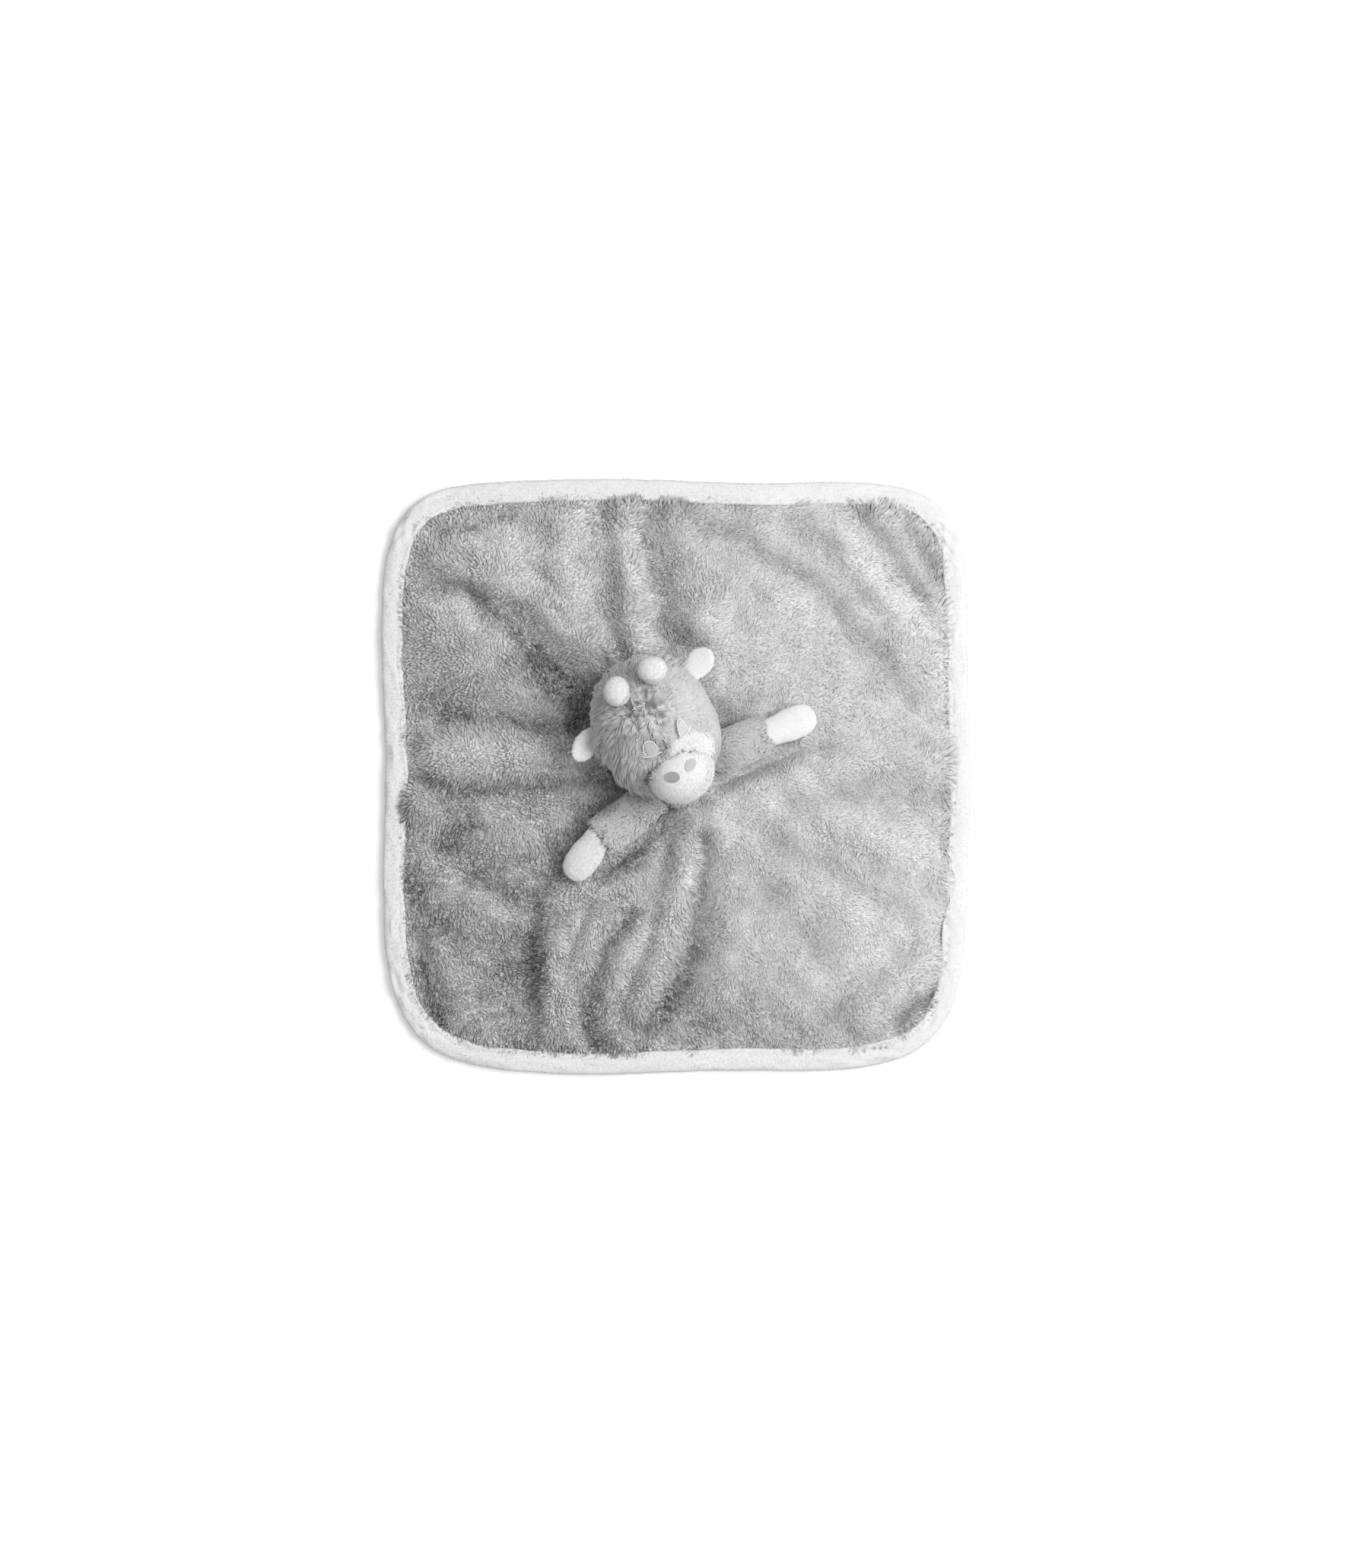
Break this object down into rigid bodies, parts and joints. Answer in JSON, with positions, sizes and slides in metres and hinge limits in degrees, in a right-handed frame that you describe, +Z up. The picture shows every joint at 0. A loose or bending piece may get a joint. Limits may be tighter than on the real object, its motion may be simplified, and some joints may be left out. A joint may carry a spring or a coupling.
{
  "type": "comfort blanket",
  "caption": "Square plush comfort blanket with a bound edge, and a small horned animal's head and arms sewn to its middle, lying face up.",
  "frame": {"origin": "middle of the bounding box in plan, at the blanket's underside", "axes": "+Z up out of the blanket and the face, +Y towards the blanket's edge beyond the crown"},
  "size_m": [0.3494, 0.3526, 0.0861],
  "materials": {
    "grey_plush": "grey long-pile plush",
    "white_plush": "white short-pile plush",
    "wadding": "loose polyester wadding",
    "grey_thread": "grey satin-stitched thread",
    "white_thread": "white embroidery thread"
  },
  "bodies": {
    "blanket": {"blanket_pile_panel": "grey_plush", "blanket_backing_panel": "white_plush", "blanket_binding": "white_plush"},
    "neck": {"neck_cover": "grey_plush", "neck_stuffing": "wadding", "neck_thread": "white_thread"},
    "head": {"head_front_cover": "grey_plush", "head_back_cover": "grey_plush", "head_stuffing": "wadding", "muzzle_cover": "white_plush", "muzzle_stuffing": "wadding", "nostril_left": "grey_thread", "nostril_right": "grey_thread", "eye_left_lid": "grey_thread", "eye_left_outline": "white_thread", "eye_right_lid": "grey_thread", "eye_right_outline": "white_thread", "horn_left_cover": "white_plush", "horn_left_stuffing": "wadding", "horn_right_cover": "white_plush", "horn_right_stuffing": "wadding"},
    "ear_left": {"ear_left_front": "white_plush", "ear_left_back": "white_plush"},
    "ear_right": {"ear_right_front": "white_plush", "ear_right_back": "white_plush"},
    "arm_left": {"sleeve_left_cover": "grey_plush", "sleeve_left_stuffing": "wadding"},
    "arm_right": {"sleeve_right_cover": "grey_plush", "sleeve_right_stuffing": "wadding"},
    "hand_left": {"hand_left_cover": "white_plush", "hand_left_stuffing": "wadding"},
    "hand_right": {"hand_right_cover": "white_plush", "hand_right_stuffing": "wadding"}
  },
  "joints": [
    {"name": "neck_nod", "type": "hinge", "parent": "blanket", "child": "neck", "pos_m": [0.0011, -0.0082, 0.0095], "axis": [0.954, 0.2998, 0], "range_deg": [0, 50]},
    {"name": "head_turn", "type": "hinge", "parent": "neck", "child": "head", "pos_m": [-0.011, 0.0303, 0.0419], "axis": [-0.2338, 0.7439, 0.626], "range_deg": [-20, 20]},
    {"name": "ear_left_flap", "type": "hinge", "parent": "head", "child": "ear_left", "pos_m": [-0.04865, 0.02341, 0.0419], "axis": [0.3632, -0.9317, 0], "range_deg": [-30, 30]},
    {"name": "ear_right_flap", "type": "hinge", "parent": "head", "child": "ear_right", "pos_m": [0.00992, 0.06257, 0.0419], "axis": [-0.7166, 0.6974, 0], "range_deg": [-30, 30]},
    {"name": "arm_left_raise", "type": "hinge", "parent": "blanket", "child": "arm_left", "pos_m": [-0.01051, -0.01273, 0.0088], "axis": [-0.5548, 0.832, 0], "range_deg": [0, 20]},
    {"name": "arm_right_raise", "type": "hinge", "parent": "blanket", "child": "arm_right", "pos_m": [0.01573, 0.00983, 0.0088], "axis": [0.3795, -0.9252, 0], "range_deg": [0, 8]},
    {"name": "hand_left_bend", "type": "hinge", "parent": "arm_left", "child": "hand_left", "pos_m": [-0.04586, -0.03631, 0.016], "axis": [0, 0, 1], "range_deg": [-45, 5]},
    {"name": "hand_right_bend", "type": "hinge", "parent": "arm_right", "child": "hand_right", "pos_m": [0.05505, 0.02596, 0.016], "axis": [0, 0, 1], "range_deg": [-25, 25]}
  ]
}
